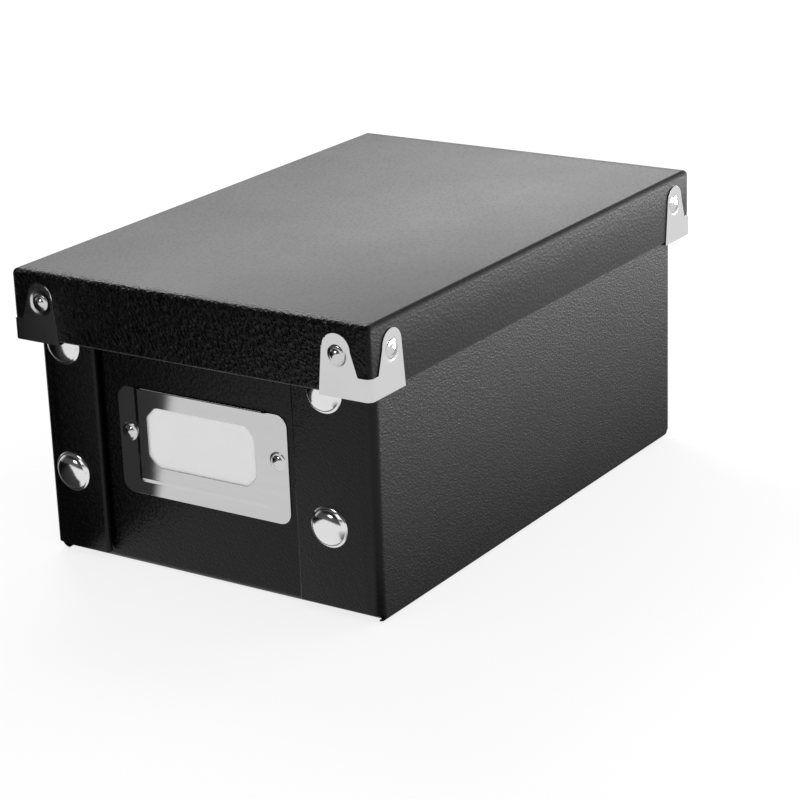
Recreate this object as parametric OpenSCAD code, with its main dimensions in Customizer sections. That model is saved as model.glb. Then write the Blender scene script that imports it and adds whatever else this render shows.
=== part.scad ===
// Lidded card index box: a collapsible base of wrapped board whose corner flaps
// snap over two folding end panels, and a lift-off lid with metal corner plates.
// The origin is on the floor under the middle of the box; the front faces -Y.

/* [Overall] */
// Width over the rivets of the lid's corner plates
overall_w = 171.45; // [165:0.05:200]
// Depth over the rivets of the lid's corner plates
overall_d = 254; // [230:1:330]
// Height from the floor to the top of the lid
overall_h = 120.65; // [112:0.05:150]

/* [Sheet stock] */
// Thickness of the grained outer cover
cover_t = 0.4; // [0.3:0.05:0.6]
// Thickness of the boards of the base
base_board_t = 2; // [1.8:0.1:2.2]
// Thickness of the boards of the lid
lid_board_t = 1.8; // [1.6:0.1:2.2]
// Thickness of the paper lining
lining_t = 0.2; // [0.1:0.05:0.3]
// Height of the cover's hem where it is turned in over an edge
hem_h = 8; // [5:0.5:12]

/* [Lid] */
// Depth of the skirt, from the lid's top to its lower edge
skirt_h = 27.4; // [24:0.1:30]
// Distance from the lid's outside to the base's outside, at the long sides
side_inset = 4.5; // [4:0.1:6]
// Distance from the lid's outside to the flaps' outside, at the two ends
end_inset = 8.2; // [7.5:0.1:10]

/* [Base] */
// Radius of the crease between the bottom and a long side
side_crease_r = 3.6; // [3.2:0.1:5]
// Radius of the crease between the bottom and an end panel
end_crease_r = 3; // [2.9:0.1:4]
// Radius of the upright crease between a long side and its flap
corner_crease_r = 3.5; // [2.8:0.1:3.5]
// Clearance between an end panel's edges and the long sides
end_panel_clear = 0.5; // [0.3:0.1:1]
// How far an end panel's top stays under the lid
end_panel_drop = 0.5; // [0.3:0.1:2]

/* [Corner flaps] */
// Width of the flaps that hang from the left side
left_flap_w = 27.5; // [26:0.5:38]
// Width of the flaps that hang from the right side
right_flap_w = 37.7; // [30:0.1:38]
// Height of a flap's lower edge over the floor
flap_foot = 3.2; // [2:0.1:6]
// How far a flap's top stays under the lid
flap_drop = 0.8; // [0.3:0.1:3]
// Gap between a flap and the end panel behind it
flap_gap = 1.2; // [1.2:0.05:1.6]

/* [Snap fasteners] */
// Distance from a flap's free edge to the middle of its snaps
snap_in = 15.4; // [13:0.1:15.5]
// Height of the lower snaps
snap_low_z = 36; // [25:0.5:40]
// Distance from the lid's top down to the upper snaps
snap_high_drop = 31.15; // [29:0.05:46]
// Diameter of a snap's cap
cap_d = 16.6; // [13:0.1:17]
// Height of a snap's cap over the flap
cap_h = 3; // [2.4:0.1:3.4]
// Thickness of the cap's sheet
cap_sheet = 0.5; // [0.4:0.05:0.6]
// Diameter of the cap's barrel, which holds the socket
barrel_d = 4; // [3.6:0.1:4.4]
// Diameter of a socket
socket_d = 11; // [10:0.1:12]
// Height of a socket
socket_h = 1.8; // [1.8:0.05:2]
// How deep a socket is let into the flap's board
socket_pocket = 1.2; // [1.2:0.05:1.4]
// Thickness of the socket's floor
socket_floor = 0.3; // [0.2:0.05:0.4]
// Diameter of the stud's boss
stud_d = 6; // [5.6:0.1:6.2]
// Play between the boss and the socket, on the radius
snap_play = 0.3; // [0.3:0.05:0.5]
// Diameter of the stud's flange
stud_flange_d = 9.6; // [9:0.1:10.5]
// Thickness of the stud's flange
stud_flange_t = 0.5; // [0.3:0.05:0.5]
// Diameter of the post's barrel inside the stud
post_d = 3.2; // [2.8:0.1:3.4]
// Diameter of the post's head inside the box
post_head_d = 9; // [7:0.1:10]
// Thickness of the post's head
post_head_t = 0.6; // [0.4:0.05:0.7]

/* [Label holder] */
// Height of the holder
holder_h = 44.4; // [40:0.1:50]
// Height of the holder's lower edge over the floor
holder_z = 31.2; // [25:0.1:40]
// Gap from the left flap to the holder's left edge
holder_left_gap = 8.05; // [4:0.05:12]
// Gap from the holder's right edge to the right flap
holder_right_gap = 4.6; // [4:0.1:8]
// Thickness of the holder's sheet
holder_t = 0.5; // [0.4:0.05:0.6]
// How far the raised middle stands over the flanges
holder_rise = 1; // [0.9:0.05:1.4]
// Radius of the holder's corners
holder_corner_r = 5; // [2:0.1:7]
// Width of a side flange
holder_flange_w = 8.9; // [8.4:0.1:10]
// Height of the lower flange
holder_foot_h = 5.8; // [4:0.1:8]
// Width of the slope between the flanges and the raised middle
holder_slope = 1.8; // [1:0.1:3]
// Distance from the foot of the slope to the window's side edge
window_in = 5.75; // [5:0.05:10]
// Height of the window
window_h = 24.8; // [18:0.1:26]
// Height of the window's lower edge over the holder's lower edge
window_z = 13; // [12:0.1:15]
// Cut at the window's corners
window_cut = 4.3; // [2:0.1:8]
// Height of the holder's rivets over its lower edge
holder_rivet_z = 25.6; // [15:0.1:32]
// Distance from the holder's side edge to its rivet
holder_rivet_in = 4.9; // [4.2:0.1:5]
// Thickness of the label card
card_t = 0.35; // [0.2:0.05:0.5]
// Clearance of the card in its pocket
card_clear = 0.1; // [0.05:0.01:0.2]

/* [Metal corners] */
// Thickness of a corner plate
plate_t = 0.5; // [0.4:0.05:0.7]
// Distance from the lid's corner to the middle of an ear
ear_in = 14.3; // [13:0.1:18]
// Radius of an ear's round top
ear_r = 6.3; // [5:0.1:7]
// Distance from the lid's top to an ear's top
ear_drop = 4; // [3.6:0.1:6]
// Distance from the lid's corner to an ear's outer foot
ear_foot_out = 22.4; // [21:0.1:26]
// Distance from the lid's corner to an ear's inner foot
ear_foot_in = 5; // [4:0.1:8]
// Distance from the lid's top to the strap between two ears
strap_drop = 19.7; // [17:0.1:23]
// How far a corner plate reaches under the lid's lower edge
plate_lip_drop = 1.1; // [0.6:0.1:1.1]
// Distance from the lid's top to a corner rivet
corner_rivet_drop = 12; // [9:0.1:14]

/* [Rivets] */
// Diameter of a rivet's domed head
rivet_head_d = 7.5; // [6:0.1:8]
// Height of a rivet's head
rivet_head_h = 1.2; // [0.8:0.1:1.6]
// Diameter of a rivet's shank
rivet_shank_d = 2.5; // [2:0.1:3]
// Diameter of the clinched tail
rivet_tail_d = 5; // [4:0.1:6]
// Thickness of the clinched tail
rivet_tail_t = 0.6; // [0.4:0.05:0.7]

/* [Hidden] */

LEFT = -1;
RIGHT = 1;
FRONT = -1;
REAR = 1;

// Facets round a full turn of the lid's soft edges
edge_fn = 32;
// Overrun of every cut past the faces it goes through
over = 1;
// Running play of a pin in its hole, on the diameter
pin_play = 0.1;
// Play between the stud and the socket, along the snap
snap_end_play = 0.1;
// Width of the cap's rolled rim
cap_rim_w = 0.8;
// Height of the cap's rolled rim
cap_rim_h = 0.8;

$fn = 64;

// Sizes of the lid that follow from the ones above
plate_stack = plate_t + rivet_head_h;
lid_w = overall_w - 2 * plate_stack;
lid_d = overall_d - 2 * plate_stack;
lid_wall_t = cover_t + lid_board_t + lining_t;
// The cover bends over the rounded edge of the top board, so its radius is both together
lid_edge_r = cover_t + lid_board_t;
board_in_x = lid_w / 2 - lid_edge_r;
board_in_y = lid_d / 2 - lid_edge_r;
lid_low = overall_h - skirt_h;
lid_under = overall_h - cover_t - lid_board_t;
base_top = lid_under - lining_t;

// Sizes of the base that follow from the ones above
wall_t = cover_t + base_board_t + lining_t;
skin_t = cover_t + lining_t;
base_w = lid_w - 2 * side_inset;
base_d = lid_d - 2 * end_inset;
inner_half_w = base_w / 2 - wall_t;
side_half_d = base_d / 2 - corner_crease_r;
flap_back = base_d / 2 - wall_t;
end_out = flap_back - flap_gap;
end_in = end_out - wall_t;
end_half_w = inner_half_w - end_panel_clear;
end_top = base_top - end_panel_drop;
bottom_half_w = base_w / 2 - side_crease_r;
bottom_half_d = end_out - end_crease_r;
flap_root = base_w / 2 - corner_crease_r;
flap_top = base_top - flap_drop;
snap_heights = [snap_low_z, overall_h - snap_high_drop];

// Depths below a flap's outer face, along a snap
pocket_floor = wall_t - socket_pocket;
bore_floor = pocket_floor + socket_floor;
socket_end = pocket_floor + socket_h;
panel_face = wall_t + flap_gap;
stud_face = panel_face - stud_flange_t;
boss_tip = bore_floor + snap_end_play;
panel_back = panel_face + wall_t;

// Places of the label holder
holder_left = left_flap_w - base_w / 2 + holder_left_gap;
holder_right = base_w / 2 - right_flap_w - holder_right_gap;
holder_w = holder_right - holder_left;
holder_x = (holder_left + holder_right) / 2;
raised_half_w = holder_w / 2 - holder_flange_w;
rivet_half_w = holder_w / 2 - holder_rivet_in;
pocket_half_w = raised_half_w - holder_slope - holder_t;
pocket_z = holder_z + holder_foot_h + holder_slope + holder_t;
window_half_w = raised_half_w - window_in;

// Heights on a corner plate
plate_low = lid_low - plate_lip_drop;
strap_top = overall_h - strap_drop;
ear_z = overall_h - ear_drop - ear_r;
corner_rivet_z = overall_h - corner_rivet_drop;

function flap_w(side) = side == LEFT ? left_flap_w : right_flap_w;
function flap_edge(side) = base_w / 2 - flap_w(side);
function snap_x(side) = flap_edge(side) + snap_in;

// A box between two opposite corners
module slab(low, high) {
    translate(low) cube(high - low);
}

// The same on both sides of the middle planes, from half sizes
module plate(half_w, half_d, low_z, high_z) {
    slab([-half_w, -half_d, low_z], [half_w, half_d, high_z]);
}

// Moves what is drawn at the right of the front to any of the four corners
module at_corner(side, end) {
    module across() {
        if (end == REAR) mirror([0, 1, 0]) children();
        else children();
    }
    if (side == LEFT) mirror([1, 0, 0]) across() children();
    else across() children();
}

// Moves what is drawn at the front to either end
module at_end(end) {
    at_corner(RIGHT, end) children();
}

// A quarter of a tube about Z, from -Y round to +X
module bent_strip(radius, thick, length) {
    rotate([0, 0, -90]) rotate_extrude(angle = 90)
        translate([radius - thick, 0]) square([thick, length]);
}

// A low dome that stands on its flat face
module dome(width, height) {
    ball_r = (width * width / 4 + height * height) / (2 * height);
    intersection() {
        translate([0, 0, height - ball_r]) sphere(r = ball_r);
        cylinder(d = width, h = height);
    }
}

// A rivet through a stack of sheets; its head stands up from z = 0
module rivet(grip) {
    dome(rivet_head_d, rivet_head_h);
    translate([0, 0, -grip - rivet_tail_t]) cylinder(d = rivet_shank_d, h = grip + rivet_tail_t);
    translate([0, 0, -grip - rivet_tail_t]) cylinder(d = rivet_tail_d, h = rivet_tail_t);
}

// The hole that a pin needs, through everything near z = 0
module pin_hole(width) {
    translate([0, 0, -wall_t - over]) cylinder(d = width + pin_play, h = 2 * (wall_t + over));
}

// Lid

// A block with round upright corners and round top edges
module soft_block(width, depth, low_z, high_z, radius) {
    x = width / 2 - radius;
    y = depth / 2 - radius;
    hull() {
        plate(x, y, low_z, high_z);
        for (side = [LEFT, RIGHT], end = [FRONT, REAR]) translate([side * x, end * y, low_z]) {
            cylinder(r = radius, h = high_z - radius - low_z, $fn = edge_fn);
            translate([0, 0, high_z - radius - low_z]) sphere(r = radius, $fn = edge_fn);
        }
    }
}

// What the lid's boards fill together
module lid_core() {
    soft_block(lid_w - 2 * cover_t, lid_d - 2 * cover_t, lid_low + cover_t, overall_h - cover_t,
        lid_board_t);
}

// Outline of the lid's boards seen from above
module lid_core_outline() {
    x = lid_w / 2 - cover_t;
    y = lid_d / 2 - cover_t;
    square([2 * x, 2 * (y - lid_board_t)], center = true);
    square([2 * (x - lid_board_t), 2 * y], center = true);
    for (side = [LEFT, RIGHT], end = [FRONT, REAR])
        translate([side * (x - lid_board_t), end * (y - lid_board_t)]) circle(r = lid_board_t);
}

// Places a rivet's axis, pointing outwards, at both ears of one corner
module at_ears(side, end) {
    at_corner(side, end) {
        translate([lid_w / 2 - ear_in, -lid_d / 2 - plate_t, corner_rivet_z])
            rotate([90, 0, 0]) children();
        translate([lid_w / 2 + plate_t, -lid_d / 2 + ear_in, corner_rivet_z])
            rotate([0, 90, 0]) children();
    }
}

module lid_rivet_holes() {
    for (side = [LEFT, RIGHT], end = [FRONT, REAR]) at_ears(side, end) pin_hole(rivet_shank_d);
}

// The part of the boards' outline that a skirt board takes, raised to the skirt's height
module lid_skirt_board(low, high) {
    color("tan") difference() {
        translate([0, 0, lid_low + cover_t]) linear_extrude(lid_under - lid_low - cover_t)
            intersection() {
                lid_core_outline();
                translate(low) square(high - low);
            }
        lid_rivet_holes();
    }
}

module lid_top_board() {
    color("tan") hull() {
        plate(board_in_x, board_in_y, lid_under, overall_h - cover_t);
        for (side = [LEFT, RIGHT], end = [FRONT, REAR])
            translate([side * board_in_x, end * board_in_y, lid_under]) intersection() {
                sphere(r = lid_board_t, $fn = edge_fn);
                cylinder(r = lid_board_t, h = lid_board_t, $fn = edge_fn);
            }
    }
}

module lid_side_skirt_board(side) {
    low_x = side == LEFT ? -lid_w / 2 : board_in_x;
    lid_skirt_board([low_x, -lid_d / 2], [low_x + lid_w / 2 - board_in_x, lid_d / 2]);
}

module lid_end_skirt_board(end) {
    low_y = end == FRONT ? -lid_d / 2 : board_in_y;
    lid_skirt_board([-board_in_x, low_y], [board_in_x, low_y + lid_d / 2 - board_in_y]);
}

module lid_cover() {
    hem_top = lid_low + hem_h;
    color([0.13, 0.13, 0.13]) difference() {
        soft_block(lid_w, lid_d, lid_low, overall_h, lid_edge_r);
        difference() {
            lid_core();
            plate(board_in_x, board_in_y, lid_low, hem_top);
        }
        plate(lid_w / 2 - lid_wall_t, lid_d / 2 - lid_wall_t, lid_low - over, hem_top + over);
        lid_rivet_holes();
    }
}

module lid_lining() {
    color([0.08, 0.08, 0.08]) difference() {
        plate(board_in_x, board_in_y, lid_low + hem_h, lid_under);
        plate(lid_w / 2 - lid_wall_t, lid_d / 2 - lid_wall_t, lid_low, base_top);
        lid_rivet_holes();
    }
}

// Outline of one ear and its half of the strap, measured from the lid's corner
module ear_outline() {
    translate([ear_in, ear_z]) circle(r = ear_r);
    polygon([
        [lid_edge_r, plate_low], [ear_foot_out, plate_low], [ear_in + ear_r, ear_z],
        [ear_in - ear_r, ear_z], [ear_foot_in, strap_top], [lid_edge_r, strap_top]
    ]);
}

// Outline of the lip under the lid's edge, seen from above
module lip_outline() {
    reach = ear_foot_out - lid_edge_r;
    difference() {
        union() {
            translate([lid_edge_r, lid_edge_r]) circle(r = lid_edge_r + plate_t);
            translate([lid_edge_r, -plate_t]) square([reach, plate_t + lid_wall_t]);
            translate([-plate_t, lid_edge_r]) square([plate_t + lid_wall_t, reach]);
        }
        translate([lid_wall_t, lid_wall_t]) square(ear_foot_out);
    }
}

// One corner plate, drawn about a corner at the origin with the lid towards +X and +Y
module bare_corner_plate() {
    rotate([90, 0, 0]) linear_extrude(plate_t) ear_outline();
    mirror([1, -1, 0]) rotate([90, 0, 0]) linear_extrude(plate_t) ear_outline();
    translate([lid_edge_r, lid_edge_r, plate_low]) rotate([0, 0, -90])
        bent_strip(lid_edge_r + plate_t, plate_t, strap_top - plate_low);
    translate([0, 0, plate_low]) linear_extrude(plate_t) lip_outline();
}

module corner_plate(side, end) {
    color("silver") difference() {
        at_corner(side, end) translate([lid_w / 2, -lid_d / 2, 0]) mirror([1, 0, 0]) bare_corner_plate();
        at_ears(side, end) pin_hole(rivet_shank_d);
    }
}

module corner_rivets() {
    color("gainsboro") for (side = [LEFT, RIGHT], end = [FRONT, REAR])
        at_ears(side, end) rivet(plate_t + lid_wall_t);
}

// Base

module bottom_board() {
    color("tan") plate(bottom_half_w, bottom_half_d, cover_t, cover_t + base_board_t);
}

module bottom_cover() {
    color([0.1, 0.1, 0.1]) plate(bottom_half_w, bottom_half_d, 0, cover_t);
}

module bottom_lining() {
    color([0.08, 0.08, 0.08]) plate(bottom_half_w, bottom_half_d, cover_t + base_board_t, wall_t);
}

// The room that a long side's board takes; past is how far it runs out of the open edges
module side_board_room(past) {
    slab([inner_half_w + lining_t, -side_half_d - past, side_crease_r - past],
        [base_w / 2 - cover_t, side_half_d + past, base_top - cover_t]);
}

module side_lining_room(past) {
    slab([inner_half_w - past, -side_half_d - past, side_crease_r - past],
        [inner_half_w + lining_t, side_half_d + past, base_top - hem_h]);
}

module side_board(side) {
    color("tan") at_corner(side, FRONT) side_board_room(0);
}

module side_lining(side) {
    color([0.08, 0.08, 0.08]) at_corner(side, FRONT) side_lining_room(0);
}

module side_cover(side) {
    color([0.15, 0.15, 0.15]) at_corner(side, FRONT) difference() {
        slab([inner_half_w, -side_half_d, side_crease_r], [base_w / 2, side_half_d, base_top]);
        side_board_room(over);
        side_lining_room(over);
    }
}

// A crease along +Y between the bottom and the side at +X
module floor_crease(out, radius, half_length) {
    translate([out - radius, half_length, radius]) rotate([90, 0, 0])
        bent_strip(radius, skin_t, 2 * half_length);
}

module side_crease(side) {
    color([0.12, 0.12, 0.12]) at_corner(side, FRONT)
        floor_crease(base_w / 2, side_crease_r, side_half_d);
}

module fold_crease(end) {
    color([0.12, 0.12, 0.12]) at_end(end) rotate([0, 0, -90])
        floor_crease(end_out, end_crease_r, bottom_half_w);
}

module corner_crease(side, end) {
    color([0.12, 0.12, 0.12]) at_corner(side, end)
        translate([flap_root, -side_half_d, side_crease_r])
            bent_strip(corner_crease_r, skin_t, flap_top - side_crease_r);
}

// Places the axis of both snaps of one flap, pointing outwards from the flap's face
module at_snaps(side, end) {
    for (z = snap_heights) at_corner(side, end)
        translate([snap_x(side), -base_d / 2, z]) rotate([90, 0, 0]) children();
}

module at_end_snaps(end) {
    for (side = [LEFT, RIGHT]) at_snaps(side, end) children();
}

module flap_board_room(side, past) {
    slab([flap_edge(side) + cover_t, -base_d / 2 + cover_t, flap_foot + cover_t],
        [flap_root + past, -flap_back - lining_t, flap_top - cover_t]);
}

module flap_holes(side, end) {
    at_snaps(side, end) {
        pin_hole(barrel_d);
        translate([0, 0, -wall_t - over]) cylinder(d = socket_d + pin_play, h = socket_pocket + over);
    }
}

module flap_board(side, end) {
    color("tan") difference() {
        at_corner(side, end) flap_board_room(side, 0);
        flap_holes(side, end);
    }
}

module flap_cover(side, end) {
    color([0.09, 0.09, 0.09]) difference() {
        at_corner(side, end) difference() {
            slab([flap_edge(side), -base_d / 2, flap_foot], [flap_root, -flap_back, flap_top]);
            flap_board_room(side, over);
        }
        flap_holes(side, end);
    }
}

// A cap with a hollow dome over a rolled rim, and its barrel
module snap_cap() {
    dome_h = cap_h - cap_rim_h;
    hollow_d = cap_d - 2 * cap_rim_w;
    difference() {
        union() {
            cylinder(d1 = cap_d - 2 * cap_rim_w + cap_sheet, d2 = cap_d, h = cap_rim_h);
            translate([0, 0, cap_rim_h]) dome(cap_d, dome_h);
        }
        translate([0, 0, -over]) cylinder(d = hollow_d, h = cap_rim_h + over);
        translate([0, 0, cap_rim_h]) dome(hollow_d, dome_h - cap_sheet);
    }
    translate([0, 0, -bore_floor]) cylinder(d = barrel_d, h = bore_floor + cap_h - cap_sheet);
}

module snap_socket() {
    translate([0, 0, -socket_end]) difference() {
        cylinder(d = socket_d, h = socket_h);
        translate([0, 0, -over]) cylinder(d = barrel_d + pin_play, h = socket_h + 2 * over);
        translate([0, 0, -over])
            cylinder(d = stud_d + 2 * snap_play, h = socket_h - socket_floor + over);
    }
}

module snap_stud() {
    difference() {
        union() {
            translate([0, 0, -panel_face]) cylinder(d = stud_flange_d, h = stud_flange_t);
            translate([0, 0, -stud_face]) cylinder(d = stud_d, h = stud_face - boss_tip);
        }
        translate([0, 0, -panel_face - over])
            cylinder(d = post_d + pin_play, h = panel_face - boss_tip - stud_flange_t + over);
    }
}

module snap_post() {
    translate([0, 0, -panel_back - post_head_t]) cylinder(d = post_head_d, h = post_head_t);
    translate([0, 0, -panel_back])
        cylinder(d = post_d, h = panel_back - boss_tip - stud_flange_t - snap_end_play);
}

module snap_caps(side, end) {
    color("silver") at_snaps(side, end) snap_cap();
}

module snap_sockets(side, end) {
    color("silver") at_snaps(side, end) snap_socket();
}

module snap_studs(end) {
    color("silver") at_end_snaps(end) snap_stud();
}

module snap_posts(end) {
    color("silver") at_end_snaps(end) snap_post();
}

// End panels

module panel_board_room(past) {
    slab([-end_half_w + cover_t, -end_out + cover_t, end_crease_r - past],
        [end_half_w - cover_t, -end_in - lining_t, end_top - cover_t]);
}

module panel_lining_room(past) {
    slab([-end_half_w + cover_t, -end_in - lining_t, end_crease_r - past],
        [end_half_w - cover_t, -end_in + past, end_top - hem_h]);
}

// Holes through an end panel for the posts, and at the front for the label holder's rivets
module panel_holes(end) {
    at_end_snaps(end) translate([0, 0, -panel_back]) pin_hole(post_d);
    if (end == FRONT) at_label_rivets() pin_hole(rivet_shank_d);
}

module panel_board(end) {
    color("tan") difference() {
        at_end(end) panel_board_room(0);
        panel_holes(end);
    }
}

module panel_lining(end) {
    color([0.08, 0.08, 0.08]) difference() {
        at_end(end) panel_lining_room(0);
        panel_holes(end);
    }
}

module panel_cover(end) {
    color([0.12, 0.12, 0.12]) difference() {
        at_end(end) difference() {
            slab([-end_half_w, -end_out, end_crease_r], [end_half_w, -end_in, end_top]);
            panel_board_room(over);
            panel_lining_room(over);
        }
        panel_holes(end);
    }
}

// Label holder

module at_label_rivets() {
    for (side = [LEFT, RIGHT])
        translate([holder_x + side * rivet_half_w, -end_out - holder_t, holder_z + holder_rivet_z])
            rotate([90, 0, 0]) children();
}

// A sheet across the holder at a depth over the panel, open to past above the holder
module holder_layer(inset, depth, past) {
    translate([-raised_half_w + inset, -depth - holder_t, holder_foot_h + inset])
        cube([2 * (raised_half_w - inset), holder_t, holder_h - holder_foot_h - inset + past]);
}

// The raised middle, from the panel's face up to its slope's top
module holder_middle(inset, drop, past) {
    hull() {
        holder_layer(inset, -drop, past);
        holder_layer(inset + holder_slope, holder_rise - drop, past);
    }
}

module holder_flanges() {
    x = holder_w / 2 - holder_corner_r;
    rotate([90, 0, 0]) linear_extrude(holder_t) {
        translate([-holder_w / 2, holder_corner_r]) square([holder_w, holder_h - 2 * holder_corner_r]);
        translate([-x, 0]) square([2 * x, holder_h]);
        for (side = [LEFT, RIGHT], z = [holder_corner_r, holder_h - holder_corner_r])
            translate([side * x, z]) circle(r = holder_corner_r);
    }
}

module window_outline() {
    x = window_half_w;
    polygon([
        [-x + window_cut, 0], [x - window_cut, 0], [x, window_cut], [x, window_h - window_cut],
        [x - window_cut, window_h], [-x + window_cut, window_h], [-x, window_h - window_cut],
        [-x, window_cut]
    ]);
}

module label_holder() {
    color("silver") difference() {
        translate([holder_x, -end_out, holder_z]) difference() {
            union() {
                holder_flanges();
                holder_middle(0, 0, 0);
            }
            holder_middle(holder_t, holder_t, over);
            translate([0, 0, window_z]) rotate([90, 0, 0]) linear_extrude(holder_rise + holder_t + over)
                window_outline();
        }
        at_label_rivets() pin_hole(rivet_shank_d);
    }
}

module label_rivets() {
    color("gainsboro") at_label_rivets() rivet(holder_t + wall_t);
}

module label_card() {
    color("white") translate([holder_x, 0, 0])
        slab([-pocket_half_w + card_clear, -end_out - holder_rise + card_clear, pocket_z + card_clear],
            [pocket_half_w - card_clear, -end_out - holder_rise + card_clear + card_t,
                holder_z + holder_h]);
}

lid_top_board();
lid_end_skirt_board(FRONT);  // lid_front_skirt_board
lid_end_skirt_board(REAR);  // lid_rear_skirt_board
lid_side_skirt_board(LEFT);  // lid_left_skirt_board
lid_side_skirt_board(RIGHT);  // lid_right_skirt_board
lid_cover();
lid_lining();
corner_plate(LEFT, FRONT);  // front_left_corner_plate
corner_plate(RIGHT, FRONT);  // front_right_corner_plate
corner_plate(LEFT, REAR);  // rear_left_corner_plate
corner_plate(RIGHT, REAR);  // rear_right_corner_plate
corner_rivets();
bottom_board();
bottom_cover();
bottom_lining();
side_board(LEFT);  // left_side_board
side_cover(LEFT);  // left_side_cover
side_lining(LEFT);  // left_side_lining
side_board(RIGHT);  // right_side_board
side_cover(RIGHT);  // right_side_cover
side_lining(RIGHT);  // right_side_lining
side_crease(LEFT);  // left_side_crease
side_crease(RIGHT);  // right_side_crease
fold_crease(FRONT);  // front_fold_crease
fold_crease(REAR);  // rear_fold_crease
flap_board(LEFT, FRONT);  // front_left_flap_board
flap_board(RIGHT, FRONT);  // front_right_flap_board
flap_board(LEFT, REAR);  // rear_left_flap_board
flap_board(RIGHT, REAR);  // rear_right_flap_board
flap_cover(LEFT, FRONT);  // front_left_flap_cover
flap_cover(RIGHT, FRONT);  // front_right_flap_cover
flap_cover(LEFT, REAR);  // rear_left_flap_cover
flap_cover(RIGHT, REAR);  // rear_right_flap_cover
corner_crease(LEFT, FRONT);  // front_left_corner_crease
corner_crease(RIGHT, FRONT);  // front_right_corner_crease
corner_crease(LEFT, REAR);  // rear_left_corner_crease
corner_crease(RIGHT, REAR);  // rear_right_corner_crease
snap_caps(LEFT, FRONT);  // front_left_snap_caps
snap_caps(RIGHT, FRONT);  // front_right_snap_caps
snap_caps(LEFT, REAR);  // rear_left_snap_caps
snap_caps(RIGHT, REAR);  // rear_right_snap_caps
snap_sockets(LEFT, FRONT);  // front_left_snap_sockets
snap_sockets(RIGHT, FRONT);  // front_right_snap_sockets
snap_sockets(LEFT, REAR);  // rear_left_snap_sockets
snap_sockets(RIGHT, REAR);  // rear_right_snap_sockets
panel_board(FRONT);  // front_panel_board
panel_cover(FRONT);  // front_panel_cover
panel_lining(FRONT);  // front_panel_lining
snap_studs(FRONT);  // front_snap_studs
snap_posts(FRONT);  // front_snap_posts
panel_board(REAR);  // rear_panel_board
panel_cover(REAR);  // rear_panel_cover
panel_lining(REAR);  // rear_panel_lining
snap_studs(REAR);  // rear_snap_studs
snap_posts(REAR);  // rear_snap_posts
label_holder();
label_rivets();
label_card();
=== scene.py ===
# %% [markdown]
# # An index card box with a lift-off lid
# The box is made of boards wrapped in black grained cover. A lid with metal corners lifts off, two end
# panels fold in, and corner flaps snap over them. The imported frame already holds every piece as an
# exact solid. This lesson gives each piece the soft edges, the grain and the shine of the real one, and
# puts the new piece exactly where the solid lies.

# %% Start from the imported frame
import math

import bmesh
import bpy
from mathutils import Matrix, Vector


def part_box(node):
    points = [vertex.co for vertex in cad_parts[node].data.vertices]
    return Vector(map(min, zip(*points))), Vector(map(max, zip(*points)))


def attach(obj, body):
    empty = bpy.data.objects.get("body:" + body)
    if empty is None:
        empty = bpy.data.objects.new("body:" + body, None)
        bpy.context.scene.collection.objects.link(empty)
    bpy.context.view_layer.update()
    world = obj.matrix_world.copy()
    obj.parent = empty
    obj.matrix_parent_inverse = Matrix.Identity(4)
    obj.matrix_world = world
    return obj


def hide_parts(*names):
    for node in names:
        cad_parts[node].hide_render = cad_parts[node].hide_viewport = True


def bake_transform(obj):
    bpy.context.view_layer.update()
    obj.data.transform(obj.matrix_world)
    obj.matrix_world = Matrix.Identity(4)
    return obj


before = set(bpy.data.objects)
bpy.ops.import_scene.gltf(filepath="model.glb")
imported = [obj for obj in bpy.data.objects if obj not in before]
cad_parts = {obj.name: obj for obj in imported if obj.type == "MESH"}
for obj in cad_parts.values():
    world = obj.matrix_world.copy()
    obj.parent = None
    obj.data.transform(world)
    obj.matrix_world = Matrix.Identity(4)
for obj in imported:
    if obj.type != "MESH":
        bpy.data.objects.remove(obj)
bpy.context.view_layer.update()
MM = 0.001
LEFT, RIGHT = -1, 1
FRONT, REAR = -1, 1

# %% [markdown]
# ## Camera
# The picture was taken from the right of the front, from a little above, with a long lens. The angles
# were worked out from the box's corners in the photograph, and the camera is slid a little so that the
# box sits in the frame as it does there. A camera could also be aimed with a Track To constraint;
# setting its three axes keeps the slight roll that the picture has.

# %% Camera
PICTURE_PIXELS = 800
FOCAL_PIXELS = 2522
SENSOR_MM = 36
VIEW_TURN = math.radians(33.77)
VIEW_RISE = math.radians(19.38)
VIEW_ROLL = math.radians(-2.12)
VIEW_DISTANCE = 1.059
VIEW_CENTRE = Vector((0, 0, 0.06))
SLIDE_RIGHT, SLIDE_UP = 0.0114, -0.0185

level_right = Vector((math.cos(VIEW_TURN), math.sin(VIEW_TURN), 0))
level_back = Vector((math.sin(VIEW_TURN), -math.cos(VIEW_TURN), 0))
toward_eye = math.cos(VIEW_RISE) * level_back + Vector((0, 0, math.sin(VIEW_RISE)))
level_up = toward_eye.cross(level_right)
view_right = math.cos(VIEW_ROLL) * level_right + math.sin(VIEW_ROLL) * level_up
view_up = math.cos(VIEW_ROLL) * level_up - math.sin(VIEW_ROLL) * level_right
eye = VIEW_CENTRE + VIEW_DISTANCE * toward_eye + SLIDE_RIGHT * view_right + SLIDE_UP * view_up

camera = bpy.data.objects.new("camera", bpy.data.cameras.new("camera"))
axes = Matrix((view_right, view_up, toward_eye)).transposed().to_4x4()
camera.matrix_world = Matrix.Translation(eye) @ axes
camera.data.sensor_width = SENSOR_MM
camera.data.lens = SENSOR_MM * FOCAL_PIXELS / PICTURE_PIXELS
bpy.context.scene.collection.objects.link(camera)
bpy.context.scene.camera = camera
print("lens in mm:", round(camera.data.lens, 1))

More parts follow.
